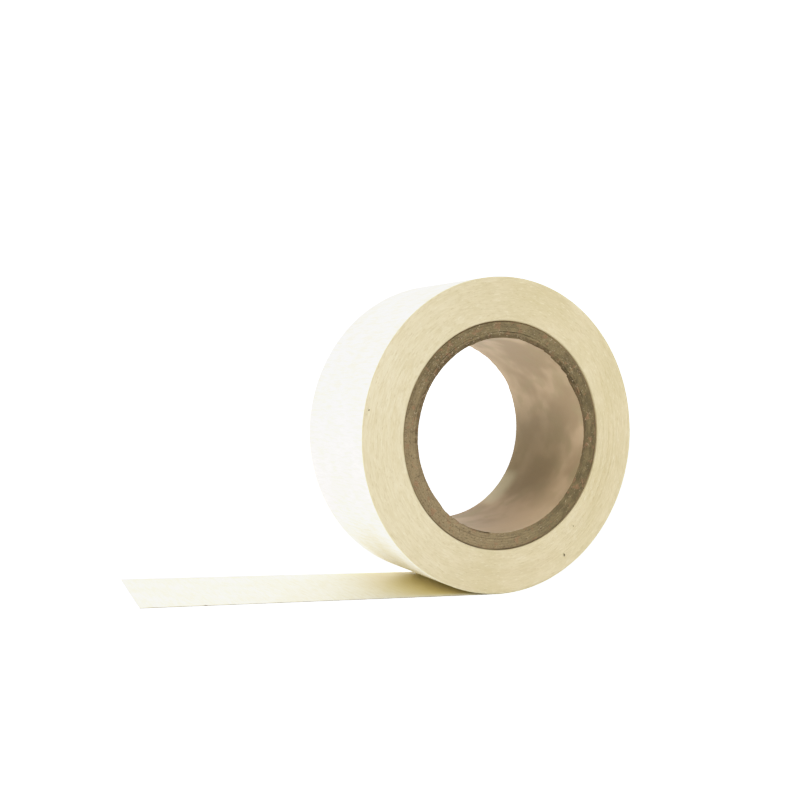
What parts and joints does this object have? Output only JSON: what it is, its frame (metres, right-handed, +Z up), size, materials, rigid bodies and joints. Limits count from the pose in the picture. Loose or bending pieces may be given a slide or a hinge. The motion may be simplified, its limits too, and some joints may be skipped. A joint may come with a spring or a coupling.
{
  "type": "masking tape roll",
  "caption": "Roll of cream crepe masking tape on a thick spiral-wound board core, standing on its edge with its loose end unrolled flat on the table.",
  "frame": {"origin": "on the surface that the tape lies on, straight below the roll's axis, in the middle of the tape's width", "axes": "+Z up; +Y along the roll's axis; -X the way that the loose end runs"},
  "size_m": [0.1995, 0.05, 0.1237],
  "materials": {
    "crepe_tape": "matt crepe paper, cream, with a thin dull adhesive on its inner side",
    "wound_edges": "matt, the slit edges of many turns",
    "core_liner_paper": "smooth matt kraft paper",
    "core_board": "fibrous grey-brown board",
    "core_wrap_paper": "matt kraft paper"
  },
  "bodies": {
    "roll": {"core_liner": "core_liner_paper", "core_board_ply_1": "core_board", "core_board_ply_2": "core_board", "core_board_ply_3": "core_board", "core_board_ply_4": "core_board", "core_board_ply_5": "core_board", "core_board_ply_6": "core_board", "core_wrap_ply": "core_wrap_paper", "wound_tape": "wound_edges", "tape_under_roll": "crepe_tape"},
    "tail_1": {"tape_tail_1": "crepe_tape"},
    "tail_2": {"tape_tail_2": "crepe_tape"},
    "tail_3": {"tape_tail_3": "crepe_tape"},
    "tail_4": {"tape_tail_4": "crepe_tape"},
    "tail_5": {"tape_tail_5": "crepe_tape"},
    "tail_6": {"tape_tail_6": "crepe_tape"},
    "tail_7": {"tape_tail_7": "crepe_tape"},
    "tail_8": {"tape_tail_8": "crepe_tape"},
    "tail_9": {"tape_tail_9": "crepe_tape"},
    "tail_10": {"tape_tail_10": "crepe_tape"},
    "tail_11": {"tape_tail_11": "crepe_tape"},
    "tail_12": {"tape_tail_12": "crepe_tape"},
    "tail_13": {"tape_tail_13": "crepe_tape"},
    "tail_14": {"tape_tail_14": "crepe_tape"},
    "tail_15": {"tape_tail_15": "crepe_tape"},
    "tail_16": {"tape_tail_16": "crepe_tape"}
  },
  "joints": [
    {"name": "wind_on", "type": "hinge", "parent": "roll", "child": "tail_1", "pos_m": [-0.00411, 0, 0.00006], "axis": [0, 1, 0], "range_deg": [0, 7.59]},
    {"name": "wind_on_2", "type": "hinge", "parent": "tail_1", "child": "tail_2", "pos_m": [-0.01232, 0, 0.00006], "axis": [0, 1, 0], "range_deg": [0, 7.59]},
    {"name": "wind_on_3", "type": "hinge", "parent": "tail_2", "child": "tail_3", "pos_m": [-0.02053, 0, 0.00006], "axis": [0, 1, 0], "range_deg": [0, 7.59]},
    {"name": "wind_on_4", "type": "hinge", "parent": "tail_3", "child": "tail_4", "pos_m": [-0.02874, 0, 0.00006], "axis": [0, 1, 0], "range_deg": [0, 7.59]},
    {"name": "wind_on_5", "type": "hinge", "parent": "tail_4", "child": "tail_5", "pos_m": [-0.03696, 0, 0.00006], "axis": [0, 1, 0], "range_deg": [0, 7.59]},
    {"name": "wind_on_6", "type": "hinge", "parent": "tail_5", "child": "tail_6", "pos_m": [-0.04517, 0, 0.00006], "axis": [0, 1, 0], "range_deg": [0, 7.59]},
    {"name": "wind_on_7", "type": "hinge", "parent": "tail_6", "child": "tail_7", "pos_m": [-0.05338, 0, 0.00006], "axis": [0, 1, 0], "range_deg": [0, 7.59]},
    {"name": "wind_on_8", "type": "hinge", "parent": "tail_7", "child": "tail_8", "pos_m": [-0.06159, 0, 0.00006], "axis": [0, 1, 0], "range_deg": [0, 7.59]},
    {"name": "lift_end", "type": "hinge", "parent": "tail_8", "child": "tail_9", "pos_m": [-0.0698, 0, 0.00006], "axis": [0, 1, 0], "range_deg": [0, 7.59]},
    {"name": "lift_end_2", "type": "hinge", "parent": "tail_9", "child": "tail_10", "pos_m": [-0.07802, 0, 0.00006], "axis": [0, 1, 0], "range_deg": [0, 7.59]},
    {"name": "lift_end_3", "type": "hinge", "parent": "tail_10", "child": "tail_11", "pos_m": [-0.08623, 0, 0.00006], "axis": [0, 1, 0], "range_deg": [0, 7.59]},
    {"name": "lift_end_4", "type": "hinge", "parent": "tail_11", "child": "tail_12", "pos_m": [-0.09444, 0, 0.00006], "axis": [0, 1, 0], "range_deg": [0, 7.59]},
    {"name": "lift_end_5", "type": "hinge", "parent": "tail_12", "child": "tail_13", "pos_m": [-0.10265, 0, 0.00006], "axis": [0, 1, 0], "range_deg": [0, 7.59]},
    {"name": "lift_end_6", "type": "hinge", "parent": "tail_13", "child": "tail_14", "pos_m": [-0.11086, 0, 0.00006], "axis": [0, 1, 0], "range_deg": [0, 7.59]},
    {"name": "lift_end_7", "type": "hinge", "parent": "tail_14", "child": "tail_15", "pos_m": [-0.11908, 0, 0.00006], "axis": [0, 1, 0], "range_deg": [0, 7.59]},
    {"name": "lift_end_8", "type": "hinge", "parent": "tail_15", "child": "tail_16", "pos_m": [-0.12729, 0, 0.00006], "axis": [0, 1, 0], "range_deg": [0, 7.59]}
  ],
  "couplings": [
    {"joint": "wind_on_2", "follows": "wind_on", "ratio": 1},
    {"joint": "wind_on_3", "follows": "wind_on", "ratio": 1},
    {"joint": "wind_on_4", "follows": "wind_on", "ratio": 1},
    {"joint": "wind_on_5", "follows": "wind_on", "ratio": 1},
    {"joint": "wind_on_6", "follows": "wind_on", "ratio": 1},
    {"joint": "wind_on_7", "follows": "wind_on", "ratio": 1},
    {"joint": "wind_on_8", "follows": "wind_on", "ratio": 1},
    {"joint": "lift_end_2", "follows": "lift_end", "ratio": 1},
    {"joint": "lift_end_3", "follows": "lift_end", "ratio": 1},
    {"joint": "lift_end_4", "follows": "lift_end", "ratio": 1},
    {"joint": "lift_end_5", "follows": "lift_end", "ratio": 1},
    {"joint": "lift_end_6", "follows": "lift_end", "ratio": 1},
    {"joint": "lift_end_7", "follows": "lift_end", "ratio": 1},
    {"joint": "lift_end_8", "follows": "lift_end", "ratio": 1}
  ]
}
